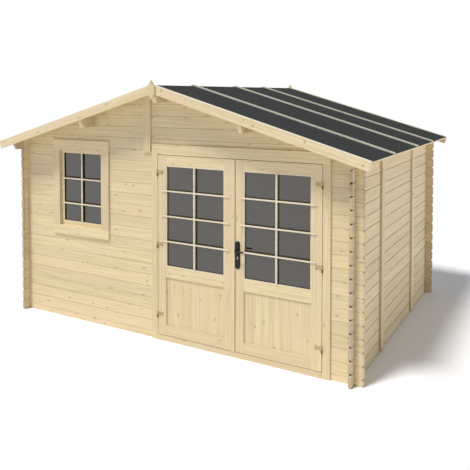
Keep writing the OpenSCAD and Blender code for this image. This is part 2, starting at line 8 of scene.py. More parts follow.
# %% Load the frame
import json
import math
import bmesh
import bpy
from mathutils import Euler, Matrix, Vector

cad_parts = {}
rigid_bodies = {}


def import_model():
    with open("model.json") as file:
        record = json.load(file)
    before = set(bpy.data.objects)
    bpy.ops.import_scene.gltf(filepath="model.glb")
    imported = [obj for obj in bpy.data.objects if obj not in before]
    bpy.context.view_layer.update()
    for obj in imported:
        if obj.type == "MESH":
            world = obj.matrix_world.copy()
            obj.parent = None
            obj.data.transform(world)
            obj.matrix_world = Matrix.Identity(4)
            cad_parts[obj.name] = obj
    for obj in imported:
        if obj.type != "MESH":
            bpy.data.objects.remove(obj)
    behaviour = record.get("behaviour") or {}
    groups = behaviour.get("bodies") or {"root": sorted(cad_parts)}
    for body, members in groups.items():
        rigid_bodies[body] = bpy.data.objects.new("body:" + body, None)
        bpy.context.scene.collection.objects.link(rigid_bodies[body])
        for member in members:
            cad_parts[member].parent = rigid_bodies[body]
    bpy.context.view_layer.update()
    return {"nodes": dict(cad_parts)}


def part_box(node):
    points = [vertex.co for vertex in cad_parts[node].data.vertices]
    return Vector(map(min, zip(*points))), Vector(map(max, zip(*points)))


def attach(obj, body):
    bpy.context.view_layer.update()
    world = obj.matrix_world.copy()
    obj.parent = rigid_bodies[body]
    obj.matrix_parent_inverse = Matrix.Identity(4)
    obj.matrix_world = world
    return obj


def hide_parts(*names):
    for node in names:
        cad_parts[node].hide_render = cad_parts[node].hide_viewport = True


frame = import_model()
nodes = frame["nodes"]

# %% [markdown]
# ## Measuring the frame
# Nothing is placed by eye. A node's box gives where a piece starts and ends, but one node can hold several
# separate solids, such as three hinges. Its triangles are laid out along one axis and those that overlap
# are merged, which leaves one span for each solid. The pitch of the roof is read from its own mesh too.

# %% Spans of separate solids, and the pitch of the roof
Y, Z = 1, 2
TOUCH = 1e-5
AT_RIDGE = 1e-4


def spans(node, axis):
    """Low and high end of each separate solid of a node along one axis."""
    mesh = nodes[node].data
    faces = [[mesh.vertices[i].co[axis] for i in face.vertices] for face in mesh.polygons]
    found = []
    for low, high in sorted((min(face), max(face)) for face in faces):
        if found and low <= found[-1][1] + TOUCH:
            found[-1][1] = max(found[-1][1], high)
        else:
            found.append([low, high])
    return found


def middle(span):
    return (span[0] + span[1]) / 2


roof_points = [v.co for v in nodes["roof_boards_right"].data.vertices]
ridge = min((p for p in roof_points if p.x < AT_RIDGE), key=lambda p: p.z)
eave = min(roof_points, key=lambda p: p.z)
pitch = math.atan2(ridge.z - eave.z, eave.x - ridge.x)
slope_len = math.hypot(eave.x - ridge.x, ridge.z - eave.z)
print("pitch", round(math.degrees(pitch), 2), "degrees, slope", round(slope_len, 3))
print("laths", len(spans("felt_laths", Y)), "hinges a leaf", len(spans("left_leaf_hinges", Z)))

# %% [markdown]
# ## Node trees that read like sums
# Both materials and repeated pieces are node trees. Wiring them by hand hides the idea behind the plumbing,
# so a small class wraps a socket and lets Python do sums with it: each sign adds one Math node. Every
# other node comes from the one method `add`, which sets the node's settings first and its sockets after.

# %% A socket that Python can calculate with
class Wire:
    """An output socket; sums with it add Math nodes to its tree."""

    def __init__(self, socket):
        self.socket = socket
        self.tree = socket.id_data

    @classmethod
    def add(cls, tree, kind, settings=None, sockets=None, out=0):
        node = tree.nodes.new(kind)
        for name, value in (settings or {}).items():
            setattr(node, name, value)
        for name, value in (sockets or {}).items():
            for one in value if isinstance(value, list) else [value]:
                if isinstance(one, Wire):
                    tree.links.new(one.socket, node.inputs[name])
                else:
                    node.inputs[name].default_value = one
        return cls(node.outputs[out])

    def twin(self, name):
        """Another output of the same node."""
        return Wire(self.socket.node.outputs[name])

    def calc(self, operation, *values):
        """One Math node."""
        return Wire.add(self.tree, "ShaderNodeMath", {"operation": operation}, dict(enumerate(values)))

    def __add__(self, other):
        return self.calc("ADD", self, other)

    def __radd__(self, other):
        return self.calc("ADD", other, self)

    def __sub__(self, other):
        return self.calc("SUBTRACT", self, other)

    def __rsub__(self, other):
        return self.calc("SUBTRACT", other, self)

    def __mul__(self, other):
        return self.calc("MULTIPLY", self, other)

    def __rmul__(self, other):
        return self.calc("MULTIPLY", other, self)

    def __truediv__(self, other):
        return self.calc("DIVIDE", self, other)

    def __rtruediv__(self, other):
        return self.calc("DIVIDE", other, self)

    def __gt__(self, other):
        return self.calc("GREATER_THAN", self, other)


print("sockets can calculate")

# %% Short names for the nodes that are used most
def floor_of(value):
    return value.calc("FLOOR", value)


def abs_of(value):
    return value.calc("ABSOLUTE", value)


def vector(tree, x, y, z):
    return Wire.add(tree, "ShaderNodeCombineXYZ", None, {"X": x, "Y": y, "Z": z})


def fade(value, start, end):
    """1 at start, falling smoothly to 0 at end."""
    ends = {"Value": value, "From Min": start, "From Max": end, "To Min": 1.0, "To Max": 0.0}
    return Wire.add(value.tree, "ShaderNodeMapRange", {"interpolation_type": "SMOOTHSTEP"}, ends)


def blend(share, low, high, how="MIX"):
    """Colours mixed by a share."""
    tree = next(part.tree for part in (share, low, high) if isinstance(part, Wire))
    settings = {"data_type": "RGBA", "blend_type": how}
    return Wire.add(tree, "ShaderNodeMix", settings, {0: share, 6: low, 7: high}, out=2)


def noise(where, scale=1.0, detail=2.0, roughness=0.5, distortion=0.0):
    sockets = {"Vector": where, "Scale": scale, "Detail": detail, "Roughness": roughness,
               "Distortion": distortion}
    return Wire.add(where.tree, "ShaderNodeTexNoise", None, sockets)


def paint(*rgb):
    return (*rgb, 1.0)


print("node helpers ready")

# %% [markdown]
# ## A material to start from
# Each finish starts from Blender's Principled shader. What is the same all over is set on the shader's own
# sockets. What changes over the surface comes in through links, and always from Object coordinates,
# so that the pattern stays on its piece when a door swings.

# %% New material
RELIEF = 0.001


def new_finish(name, **constants):
    """A material, its shader and its Object coordinates."""
    material = bpy.data.materials.new(name)
    material.use_nodes = True
    shader = material.node_tree.nodes["Principled BSDF"]
    for socket, value in constants.items():
        shader.inputs[socket.replace("_", " ")].default_value = value
    place = Wire.add(material.node_tree, "ShaderNodeTexCoord", out="Object")
    return material, shader, place


def feed(shader, height=None, bump=0.0, **wires):
    """Links what changes over the surface to the shader. A height becomes a bump."""
    links = shader.id_data.links
    for socket, wire in wires.items():
        links.new(wire.socket, shader.inputs[socket.replace("_", " ")])
    if height is not None:
        sockets = {"Strength": bump, "Distance": RELIEF, "Height": height}
        relief = Wire.add(shader.id_data, "ShaderNodeBump", None, sockets)
        links.new(relief.socket, shader.inputs["Normal"])


print("finish helpers ready")

# %% [markdown]
# ## Planed spruce
# Every timber here is pale, planed spruce: long soft grain, small brown knots, and a tone that changes
# from board to board. A wood picture would repeat and would not follow the cuts, so the grain is worked
# out. The coordinates are turned until X lies along the grain. Boards are told apart by counting steps
# across the grain, and each board slides its own pattern along by a random length. Knots are the points of
# a stretched Voronoi pattern, kept in some cells only, and the grain bends a little round them.

# %% Colours of spruce, and the ways that grain can run
SPRUCE_PALE = paint(0.816, 0.675, 0.417)
SPRUCE_DEEP = paint(0.712, 0.576, 0.333)
SPRUCE_ROSY = paint(0.790, 0.619, 0.399)
KNOT_BROWN = paint(0.360, 0.235, 0.110)
# Colour of the painted line between boards: a dark joint and painted shade in its groove.
JOINT_AND_SHADE_BROWN = paint(0.330, 0.250, 0.150)
SHADE_BROWN = paint(0.050, 0.035, 0.015)
END_GRAIN = paint(0.880, 0.875, 0.860)
# The colour of a painted highlight along the top edge of the bargeboards.
PAINTED_HIGHLIGHT = paint(0.900, 0.840, 0.680)
ALONG_X = (0.0, 0.0, 0.0)
ALONG_Y = (0.0, 0.0, -math.pi / 2)
ALONG_Z = (0.0, math.pi / 2, 0.0)
DOWN_RIGHT = (0.0, -pitch, 0.0)
DOWN_LEFT = (0.0, pitch, 0.0)
print("grain can run five ways")

# %% Knots and grain
RANDOM_SLIDE = 19.0
KNOTS_ALONG = 5.0
KNOTS_ACROSS = 12.0
KNOT_LEAST = 0.04
KNOT_SPREAD = 0.10
KNOT_NONE = 0.01
TINY = 1e-4
MARK_LONG = 0.014
MARK_HIGH = 0.011
BEND = 0.006
STREAKS = 55.0
FIBRES = 300.0


def knots_of(tree, along, across, moved, shade, share, marks):
    """How much of a point is knot, and how much of it is the ring of bent grain round one."""
    cells = vector(tree, moved * KNOTS_ALONG, across * KNOTS_ACROSS + shade * RANDOM_SLIDE, 0.0)
    sockets = {"Vector": cells, "Scale": 1.0}
    away = Wire.add(tree, "ShaderNodeTexVoronoi", {"voronoi_dimensions": "2D"}, sockets)
    pick = Wire.add(tree, "ShaderNodeSeparateColor", None, {"Color": away.twin("Color")}, out="Red")
    size = (pick > 1.0 - share) * (KNOT_LEAST + KNOT_SPREAD * pick.twin("Green"))
    reach = away / (size + TINY)
    knot = fade(reach, 0.5, 1.1) * (size > KNOT_NONE)
    ring = fade(reach, 0.9, 3.0) * (size > KNOT_NONE)
    for mark_along, mark_across in marks:
        far = (along - mark_along) / MARK_LONG
        up = (across - mark_across) / MARK_HIGH
        knot = knot.calc("MAXIMUM", knot, fade(far * far + up * up, 0.4, 1.3))
    return knot, ring


def grain_of(tree, moved, across, through, ring):
    """Soft streaks, fine fibres and slow clouds, all stretched along the grain."""
    bent = across + ring * BEND
    streak_at = vector(tree, moved * 1.3, bent * STREAKS, through * STREAKS)
    streak = noise(streak_at, detail=4.0, roughness=0.65, distortion=0.6)
    fibre = noise(vector(tree, moved * 7.0, bent * FIBRES, through * FIBRES), roughness=0.6)
    cloud = noise(vector(tree, moved * 1.1, across * 6.0, through * 3.0))
    return streak, fibre, cloud


print("knots up to", KNOT_LEAST + KNOT_SPREAD, "of a cell, cells", 1 / KNOTS_ALONG, "long")

# %% Spruce
FACES_APART = 0.5
LEVEL = 0.945
LEVEL_SPREAD = 0.11
ROSY_SHARE = 0.75
FIBRE_SHARE = 0.3
RING_SHARE = 0.3
HIGHLIGHT_SHARE = 0.85
SHADE_SHARE = 0.15
INNER_JOINT = 0.25
END_JOINT_LOSS = 0.8
EDGE = 0.001


def spruce(name, grain, face="Z", step=0.3, start=0.0, seed=1.0, knots=0.5, knot_depth=0.6,
           tint=(1.0, 1.0, 1.0), joint_and_shade=0.0, outside=None, ends=None, end_tint=END_GRAIN, rim=None,
           marks=(), shaded=()):
    """Spruce with its grain along one way.

    face is the turned axis across the boards, and step their width, counted from start. joint is how dark
    the painted line between them is: partly a dark seam, partly painted shade in its groove. With outside,
    which needs ends, the line is faint nearer than that to the middle of the cabin, and at the ends. Past
    ends from the middle there is end grain. Above rim, across the grain, a painted highlight makes an edge
    pale. marks are large knots as (along, across), and shaded are places on the cabin's Y where painted
    shade darkens a cut face.
    """
    material, shader, place = new_finish(name, Specular_IOR_Level=0.3)
    tree = material.node_tree
    turned = Wire.add(tree, "ShaderNodeMapping", None, {"Vector": place, "Rotation": grain})
    along = Wire.add(tree, "ShaderNodeSeparateXYZ", None, {"Vector": turned}, out="X")
    across = along.twin(face)
    through = along.twin("Y" if face == "Z" else "Z")
    count = (across - start) / step
    board = floor_of(count)
    where = vector(tree, board, floor_of(through / FACES_APART), seed)
    chance = Wire.add(tree, "ShaderNodeTexWhiteNoise", None, {"Vector": where}, out="Color")
    slide = Wire.add(tree, "ShaderNodeSeparateColor", None, {"Color": chance}, out="Red")
    shade = slide.twin("Green")
    blush = slide.twin("Blue")
    moved = along + slide * RANDOM_SLIDE

    knot, ring = knots_of(tree, along, across, moved, shade, knots, marks)
    streak, fibre, cloud = grain_of(tree, moved, across, through, ring)
    wood = blend(fade(streak, 0.60, 0.40), SPRUCE_PALE, SPRUCE_DEEP)
    wood = blend(fade(cloud, 0.62, 0.4) * blush * ROSY_SHARE, wood, SPRUCE_ROSY)
    wood = blend(fade(fibre, 0.3, 0.52) * FIBRE_SHARE, wood, SPRUCE_DEEP)
    wood = blend(ring * RING_SHARE, wood, SPRUCE_DEEP)
    wood = blend(knot * (knot_depth * (0.6 + 0.4 * shade)), wood, KNOT_BROWN)
    level = LEVEL + shade * LEVEL_SPREAD
    tone = Wire.add(tree, "ShaderNodeCombineColor", None, dict(enumerate(level * t for t in tint)))
    wood = blend(1.0, wood, tone, "MULTIPLY")

    at_end = abs_of(along) > ends if ends else None
    # The painted line between boards is partly a dark joint and partly painted shade in the groove.
    if joint_and_shade:
        spot = count - board
        from_edge = spot.calc("PINGPONG", spot, 0.5) * step
        broken = fade(noise(vector(tree, moved * 9.0, board, seed)), 0.62, 0.36)
        line = fade(from_edge, 0.002, 0.004 + 0.005 * joint_and_shade)
        if outside:
            line = line * (INNER_JOINT + (1.0 - INNER_JOINT) * (abs_of(through) > outside))
            line = line * (1.0 - END_JOINT_LOSS * at_end)
        wood = blend(line * (0.4 + 0.6 * broken) * joint_and_shade, wood, JOINT_AND_SHADE_BROWN)
    if ends:
        wood = blend(at_end, wood, blend(1.0, wood, end_tint, "MULTIPLY"))
    # Painted highlight: above rim the edge is made pale, as if it caught the light.
    if rim:
        wood = blend(fade(across, rim, rim - EDGE) * HIGHLIGHT_SHARE, wood, PAINTED_HIGHLIGHT)
    # Painted shade: a thin dark band on the cut faces at the listed places on Y.
    if shaded:
        depth = Wire.add(tree, "ShaderNodeSeparateXYZ", None, {"Vector": place}, out="Y")
        for edge in shaded:
            dark = fade(abs_of(depth - edge), EDGE * 0.5, EDGE)
            wood = blend(dark * SHADE_SHARE, wood, SHADE_BROWN)
    feed(shader, height=streak + fibre * 0.6, bump=0.12, Base_Color=wood, Roughness=0.5 + 0.2 * fibre)
    return material


def dress(material, *names):
    for name in names:
        nodes[name].data.materials.clear()
        nodes[name].data.materials.append(material)


print("wood helper ready")

# %% [markdown]
# ## Timbers of the cabin
# Logs lie flat, so their grain follows the wall they belong to. Stiles and jambs stand upright, rails lie
# across, and bargeboards follow the slope of the roof. One course of logs is measured from the frame, so
# that the pattern changes exactly at the joints. Logs are chamfered on their outer face, and the line
# painted between the side logs is partly a dark joint and partly painted shade in that groove, so it is
# dark only there. The bargeboards get a few large knots that catch the eye, and a painted highlight along
# their top edge.

# %% Finishes of the logs and the joinery
side_courses = spans("right_wall_even_courses", Z)
COURSE = round((side_courses[-1][0] - side_courses[-2][0]) / 2, 6)
LOG_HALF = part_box("front_wall_even_courses")[1].x
SIDE_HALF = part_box("right_wall_odd_courses")[1].y
SIDE_MIDDLE = middle([corner.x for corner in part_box("right_wall_odd_courses")])
END_CUT = 0.0165
NOSE_FROM = 1.55
front_logs = spruce("front log spruce", ALONG_X, step=COURSE, start=COURSE / 2, seed=3.0, joint_and_shade=0.3,
                    ends=LOG_HALF - END_CUT)
side_logs = spruce("side log spruce", ALONG_Y, step=COURSE, seed=5.0, knots=0.3, knot_depth=0.3,
                   joint_and_shade=0.85, outside=SIDE_MIDDLE, ends=SIDE_HALF - END_CUT,
                   end_tint=paint(0.74, 0.74, 0.79))
upright = spruce("upright spruce", ALONG_Z, step=0.21, seed=7.0, knots=0.3, knot_depth=0.45,
                 tint=(0.96, 0.955, 0.96))
cross_rail = spruce("cross rail spruce", ALONG_X, step=0.6, seed=9.0, knots=0.35, knot_depth=0.45)
purlin_wood = spruce("purlin spruce", ALONG_Y, step=0.7, seed=11.0, tint=(0.90, 0.89, 0.95),
                     ends=NOSE_FROM, end_tint=paint(1.12, 1.14, 1.15))
# The battens' faces towards the front get painted shade.
batten_wood = spruce("batten spruce", ALONG_Z, step=0.3, seed=12.0, knots=0.2, knot_depth=0.3,
                     shaded=[low for low, high in spans("side_wall_battens", Y)])
for side in ("front", "back"):
    dress(front_logs, side + "_wall_even_courses", side + "_wall_odd_courses")
for side in ("left", "right"):
    dress(side_logs, side + "_wall_even_courses", side + "_wall_odd_courses")
    dress(upright, side + "_leaf_stiles")
    dress(cross_rail, side + "_leaf_rails")
dress(upright, "window_jambs", "door_jambs", "gable_board", "gable_diamonds", "left_leaf_strip")
dress(cross_rail, "window_head_and_sill", "window_sash", "door_head", "door_sill")
dress(purlin_wood, "ridge_purlin", "side_purlins", "floor_bearers")
dress(batten_wood, "side_wall_battens")
print("one course is", COURSE, "and log ends lie at", round(LOG_HALF, 3), "and", round(SIDE_HALF, 3))

# %% Finishes of the bargeboards
RIM = 0.006
KNOT_OFF = 0.012


def barge_spruce(side, grain, seed, *level_places):
    """Bargeboard spruce with large knots near its middle line, at places measured level from the ridge."""
    turn = Euler(grain).to_matrix()
    heights = [(turn @ v.co).z for v in nodes["bargeboards_" + side].data.vertices]
    mid = middle((min(heights), max(heights)))
    lean = math.tan(-grain[1])
    marks = [(x / math.cos(pitch) - mid * lean, mid + KNOT_OFF * (-1) ** i)
             for i, x in enumerate(level_places)]
    # The top edge gets a painted highlight.
    return spruce(side + " bargeboard spruce", grain, step=4.0, seed=seed, knots=0.15, marks=marks,
                  rim=max(heights) - RIM)


dress(barge_spruce("right", DOWN_RIGHT, 13.0, 0.107, 1.075, 1.552, 2.046), "bargeboards_right")
dress(barge_spruce("left", DOWN_LEFT, 15.0, -2.026, -1.513, -0.554), "bargeboards_left")
print("timbers dressed")

# %% [markdown]
# ## Roofing felt
# The roof is covered in charcoal mineral felt: a sheet with fine stone granules pressed into it. Seen
# close it sparkles a little from grey to black, and seen from afar it is a flat dark grey. Fine noise gives
# the granules, and a slow noise gives the faint clouds that a rolled sheet has.

# %% Felt
felt, shader, place = new_finish("mineral felt", Specular_IOR_Level=0.25)
granules = noise(place, scale=650.0, detail=1.0, roughness=0.6)
clouds = noise(place, scale=2.2, detail=3.0)
charcoal = blend(fade(granules, 0.38, 0.62), paint(0.030, 0.030, 0.027), paint(0.052, 0.051, 0.046))
charcoal = blend(fade(clouds, 0.35, 0.65) * 0.35, charcoal, paint(0.033, 0.034, 0.032))
feed(shader, height=granules, bump=0.5, Base_Color=charcoal, Roughness=0.82 + 0.15 * granules)
dress(felt, "roof_felt_left", "roof_felt_right")
# The laths' faces towards the front get painted shade.
lath_wood = spruce("lath spruce", DOWN_RIGHT, face="Y", step=0.4, seed=17.0, knots=0.1,
                   tint=(1.12, 1.30, 1.70), shaded=[low for low, high in spans("felt_laths", Y)])
dress(lath_wood, "felt_laths")
print("felt and laths dressed")

# %% [markdown]
# ## Glass
# The panes look mid grey because the dark room behind them drinks most of the light and the surface mirrors
# about a tenth of the bright surroundings. So the glass is a nearly black base with a strong clear
# reflection. A faint film on it changes the roughness a little, because no pane is perfectly clean.

# %% Panes
glass, shader, place = new_finish("dark pane", IOR=2.05, Specular_Tint=paint(1.0, 0.94, 0.86))
film = noise(place, scale=3.0)
smoke = blend(fade(film, 0.3, 0.7), paint(0.022, 0.020, 0.017), paint(0.016, 0.015, 0.014))
feed(shader, Base_Color=smoke, Roughness=0.02 + 0.03 * film)
dress(glass, "window_glass", "left_leaf_glass", "right_leaf_glass")
print("panes dressed")

# %% [markdown]
# ## Metals
# The hinges are dull brass with dark pins and screws, the handle is black and satin, and nails are bright
# steel. All are plain metals with a little life in the roughness, because a perfectly even metal looks
# like plastic.

# %% Bright and dark brass, black and bright steel
def metal(name, scale, detail, light, dark, rough, rough_spread, bump=0.0, **constants):
    """A metal whose colour and roughness wander a little with one fine noise."""
    finish, shader, place = new_finish(name, **constants)
    wear = noise(place, scale, detail)
    colour = blend(fade(wear, 0.35, 0.65), paint(*light), paint(*dark))
    height = wear if bump else None
    feed(shader, height=height, bump=bump, Base_Color=colour, Roughness=rough + rough_spread * wear)
    return finish


brass = metal("hinge brass", scale=90.0, detail=3.0, light=(0.66, 0.55, 0.31), dark=(0.46, 0.36, 0.18),
              rough=0.28, rough_spread=0.2, bump=0.1, Metallic=0.5)
bronze = metal("dark hinge brass", scale=120.0, detail=3.0, light=(0.24, 0.16, 0.06),
               dark=(0.13, 0.085, 0.035), rough=0.40, rough_spread=0.2, bump=0.1, Metallic=0.4)
black = metal("black satin metal", scale=140.0, detail=2.0, light=(0.019, 0.019, 0.017),
              dark=(0.010, 0.010, 0.009), rough=0.36, rough_spread=0.15, bump=0.08, Specular_IOR_Level=0.3)
steel = metal("zinc steel", scale=300.0, detail=2.0, light=(0.62, 0.60, 0.55), dark=(0.38, 0.37, 0.34),
              rough=0.3, rough_spread=0.25, Metallic=1.0)
dress(brass, "left_leaf_hinges", "right_leaf_hinges")
dress(bronze, "jamb_hinges")
dress(black, "handle_plates", "door_lever")
print("metals dressed")

# %% [markdown]
# ## A workshop for repeated pieces
# Boards, bars and screws repeat, so Geometry Nodes make them: a tree has named inputs for its sizes, and
# the same tree serves every size. A tree ends by realising its instances and setting the material. The
# result is then copied into a plain mesh, because an exported part can't carry a modifier.

# %% Trees with named inputs, and plain meshes from them
KINDS = {int: "NodeSocketInt", float: "NodeSocketFloat", tuple: "NodeSocketVector"}


class Workshop:
    """One Geometry Nodes tree. Its sizes are the named inputs."""

    def __init__(self, name, takes_geometry=False, **sizes):
        self.tree = bpy.data.node_groups.new(name, "GeometryNodeTree")
        self.ids = {}
        if takes_geometry:
            self.take("Geometry", "NodeSocketGeometry")
        for size, example in sizes.items():
            self.take(size, KINDS[type(example)]).default_value = example
        self.take("Finish", "NodeSocketMaterial")
        self.tree.interface.new_socket("Geometry", in_out="OUTPUT", socket_type="NodeSocketGeometry")
        self.entry = self.tree.nodes.new("NodeGroupInput")
        self.exit = self.tree.nodes.new("NodeGroupOutput")

    def take(self, name, kind):
        """A named input. Its identifier is kept for the modifier."""
        made = self.tree.interface.new_socket(name, in_out="INPUT", socket_type=kind)
        self.ids[name] = made.identifier
        return made

    def size(self, name):
        return Wire(self.entry.outputs[name])

    def add(self, kind, settings=None, sockets=None, out=0):
        return Wire.add(self.tree, kind, settings, sockets, out)

    def stick(self, length, width, thick, edge, steps):
        """A stick with eased edges: length along X from zero, thickness along Y and width along Z."""
        end = vector(self.tree, length, 0.0, 0.0)
        path = self.add("GeometryNodeCurvePrimitiveLine", None, {"Start": (0.0, 0.0, 0.0), "End": end})
        path = self.add("GeometryNodeSetCurveNormal", {"mode": "Z_UP"}, {"Curve": path})
        section = self.add("GeometryNodeCurvePrimitiveQuadrilateral", None, {"Width": thick, "Height": width})
        corners = {"Curve": section, "Count": steps, "Radius": edge}
        section = self.add("GeometryNodeFilletCurve", {"mode": "POLY"}, corners)
        sweep = {"Curve": path, "Profile Curve": section, "Fill Caps": True}
        return self.add("GeometryNodeCurveToMesh", None, sweep)

    def moved(self, geometry, shift=(0.0, 0.0, 0.0), turn=(0.0, 0.0, 0.0)):
        sockets = {"Geometry": geometry, "Translation": shift, "Rotation": turn}
        return self.add("GeometryNodeTransform", None, sockets)

    def repeat(self, piece, count, first, offset):
        line = {"Count": count, "Start Location": first, "Offset": offset}
        points = self.add("GeometryNodeMeshLine", None, line)
        return self.add("GeometryNodeInstanceOnPoints", None, {"Points": points, "Instance": piece})

    def close(self, geometry):
        real = self.add("GeometryNodeRealizeInstances", None, {"Geometry": geometry})
        flat = self.add("GeometryNodeSetShadeSmooth", None, {"Geometry": real, "Shade Smooth": False})
        done = self.add("GeometryNodeSetMaterial", None, {"Geometry": flat, "Material": self.size("Finish")})
        self.tree.links.new(done.socket, self.exit.inputs[0])

    def make(self, name, finish, start=None, **sizes):
        """A plain object with the tree's result in its mesh."""
        made = bpy.data.objects.new(name, start or bpy.data.meshes.new(name))
        bpy.context.scene.collection.objects.link(made)
        modifier = made.modifiers.new(name, "NODES")
        modifier.node_group = self.tree
        for size, value in {**sizes, "Finish": finish}.items():
            modifier[self.ids[size]] = value
        graph = bpy.context.evaluated_depsgraph_get()
        mesh = bpy.data.meshes.new_from_object(made.evaluated_get(graph))
        made.modifiers.clear()
        made.data = mesh
        mesh.name = name
        print(name, "has", sum(len(f.vertices) - 2 for f in mesh.polygons), "triangles")
        return made


def settle(piece, body, slot, *stands_for):
    """The piece rides a body and may stand for plain nodes. The slot is not used."""
    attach(piece, body)
    if stands_for:
        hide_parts(*stands_for)


print("workshop open")

# %% [markdown]
# ## Rows of boards
# Roof, floor and door panels are tongued boards with a small V at each joint. A real board is planed from
# the same section all along, so one chamfered stick is swept, then repeated sideways on a line of points.
# The whole row is turned and put in its place last. The plain slabs of the frame give way to these rows.

# %% The tree for a row of boards
rows = Workshop("row of boards", Length=1.0, Width=0.1, Thickness=0.02, Chamfer=0.003, Gap=0.0004,
                Count=5, Place=(0.0, 0.0, 0.0), Turn=(0.0, 0.0, 0.0))
FLAT = 1
net_width = rows.size("Width") - rows.size("Gap")
board = rows.stick(rows.size("Length"), net_width, rows.size("Thickness"), rows.size("Chamfer"), FLAT)
first = vector(rows.tree, 0.0, rows.size("Thickness") / 2, rows.size("Width") / 2)
offset = vector(rows.tree, 0.0, 0.0, rows.size("Width"))
row = rows.repeat(board, rows.size("Count"), first, offset)
rows.close(rows.moved(row, rows.size("Place"), rows.size("Turn")))
print("tree for rows:", len(rows.tree.nodes), "nodes")

# %% Boards of the roof
ROOF_BOARD_W = 0.095
deck_low, deck_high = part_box("roof_boards_right")
deck_len = deck_high.y - deck_low.y
deck_thick = (deck_high.z - ridge.z) * math.cos(pitch)
deck_count = round(deck_len / ROOF_BOARD_W)
deck_step = deck_len / deck_count
ridge_cut = deck_thick * math.tan(pitch)
for side, sign, turn, grain in (("right", 1, 0.0, DOWN_RIGHT), ("left", -1, math.pi, DOWN_LEFT)):
    wood = spruce(side + " roof board spruce", grain, face="Y", step=deck_step, start=deck_low.y,
                  seed=19.0 + sign)
    start = (sign * ridge_cut * math.cos(pitch), sign * deck_high.y, ridge.z - ridge_cut * math.sin(pitch))
    boards = rows.make("roof_boarding_" + side, wood, Length=slope_len - ridge_cut, Width=deck_step,
                       Thickness=deck_thick, Chamfer=0.003, Count=deck_count, Place=start,
                       Turn=(math.pi / 2, pitch, turn))
    settle(boards, "cabin", "board_wood", "roof_boards_" + side)

# %% Boards of the floor
FLOOR_BOARD_W = 0.102
floor_low, floor_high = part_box("floor_boards")
floor_count = round((floor_high.y - floor_low.y) / FLOOR_BOARD_W)
floor_step = (floor_high.y - floor_low.y) / floor_count
floor_wood = spruce("floor board spruce", ALONG_X, face="Y", step=floor_step, start=floor_low.y, seed=23.0)
floor_boards = rows.make("floor_boarding", floor_wood, Length=floor_high.x - floor_low.x, Width=floor_step,
                         Thickness=floor_high.z - floor_low.z, Chamfer=0.002, Count=floor_count,
                         Place=(floor_low.x, floor_high.y, floor_low.z), Turn=(math.pi / 2, 0.0, 0.0))
settle(floor_boards, "cabin", "board_wood", "floor_boards")

# %% Boards of the door panels
PANEL_BOARDS = 7
for side in ("left", "right"):
    low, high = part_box(side + "_leaf_panel")
    step = (high.x - low.x) / PANEL_BOARDS
    wood = spruce(side + " panel spruce", ALONG_Z, step=step, start=-high.x, seed=29.0, knots=0.4,
                  tint=(0.975, 0.97, 0.975))
    boards = rows.make(side + "_panel_boards", wood, Length=high.z - low.z, Width=step,
                       Thickness=high.y - low.y, Chamfer=0.0007, Count=PANEL_BOARDS,
                       Place=(high.x, low.y, low.z), Turn=(0.0, -math.pi / 2, 0.0))
    settle(boards, side + "_leaf", "board_wood", side + "_leaf_panel")

# %% [markdown]
# ## Glazing bars, beads and a lining of painted shade
# The panes are single sheets. A light wooden lattice lies over them to make the cottage pattern, and its
# cross bars run out onto the frame, where they are pinned. Slim beads close the edge of the glass. Behind
# bars and beads lies a dark lining, which is painted shade: it draws the dark line of shade beside every
# bar. On the doors its upright flanks are bare wood, so that the line is thinner there. One tree makes wood
# and lining alike, because both follow from the size of the light.

# %% The tree for a glazed light
lights = Workshop("glazed light", Width=0.6, Height=1.0, Bars=3, First=0.25, Step=0.25, Bar=0.014,
                  Post=0.018, Front=0.0, Depth=0.010, Rise=0.0, Left_Run=0.045, Right_Run=0.045,
                  Bead=0.008, Bead_Front=0.0, Bead_Depth=0.005, Edge=0.003, Middle=(0.0, 0.0, 0.0))
size = lights.size
tree = lights.tree
UPRIGHT = (0.0, -math.pi / 2, 0.0)
ROUND = 3
LAP = 0.001
bar_y = size("Front") + size("Depth") / 2
cross_len = size("Width") + size("Left_Run") + size("Right_Run")
cross = lights.stick(cross_len, size("Bar"), size("Depth"), size("Edge"), ROUND)
cross_z = size("Height") / 2 - size("First") + size("Rise")
cross_at = vector(tree, size("Width") * -0.5 - size("Left_Run"), bar_y, cross_z)
crosses = lights.repeat(cross, size("Bars"), cross_at, vector(tree, 0.0, 0.0, size("Step") * -1.0))
post = lights.stick(size("Height"), size("Post"), size("Depth") - LAP, size("Edge"), ROUND)
post = lights.moved(post, vector(tree, 0.0, bar_y + LAP / 2, size("Height") * -0.5), UPRIGHT)

FINE = 0.0004
bead_y = size("Bead_Front") + size("Bead_Depth") / 2
level_bead = lights.stick(size("Width"), size("Bead"), size("Bead_Depth"), FINE, FLAT)
level_at = vector(tree, size("Width") * -0.5, bead_y, (size("Bead") - size("Height")) / 2)
level_offset = vector(tree, 0.0, 0.0, size("Height") - size("Bead"))
level_beads = lights.repeat(level_bead, 2, level_at, level_offset)
plumb_len = size("Height") - 2 * size("Bead")
plumb_bead = lights.stick(plumb_len, size("Bead"), size("Bead_Depth"), FINE, FLAT)
plumb_at = vector(tree, (size("Bead") - size("Width")) / 2, bead_y, plumb_len * -0.5)
plumb_offset = vector(tree, size("Width") - size("Bead"), 0.0, 0.0)
plumb_beads = lights.repeat(lights.moved(plumb_bead, turn=UPRIGHT), 2, plumb_at, plumb_offset)
parts = [crosses, post, level_beads, plumb_beads]
joined = lights.add("GeometryNodeJoinGeometry", None, {"Geometry": parts})
lights.close(lights.moved(joined, size("Middle")))
print("tree for glazed lights:", len(tree.nodes), "nodes")

# %% Finishes of bars and of the painted-shade lining
bar_wood = spruce("glazing bar spruce", ALONG_X, step=0.03, seed=31.0, knots=0.05, tint=(1.02, 1.10, 1.32))
FACES_SIDEWAYS = 0.5


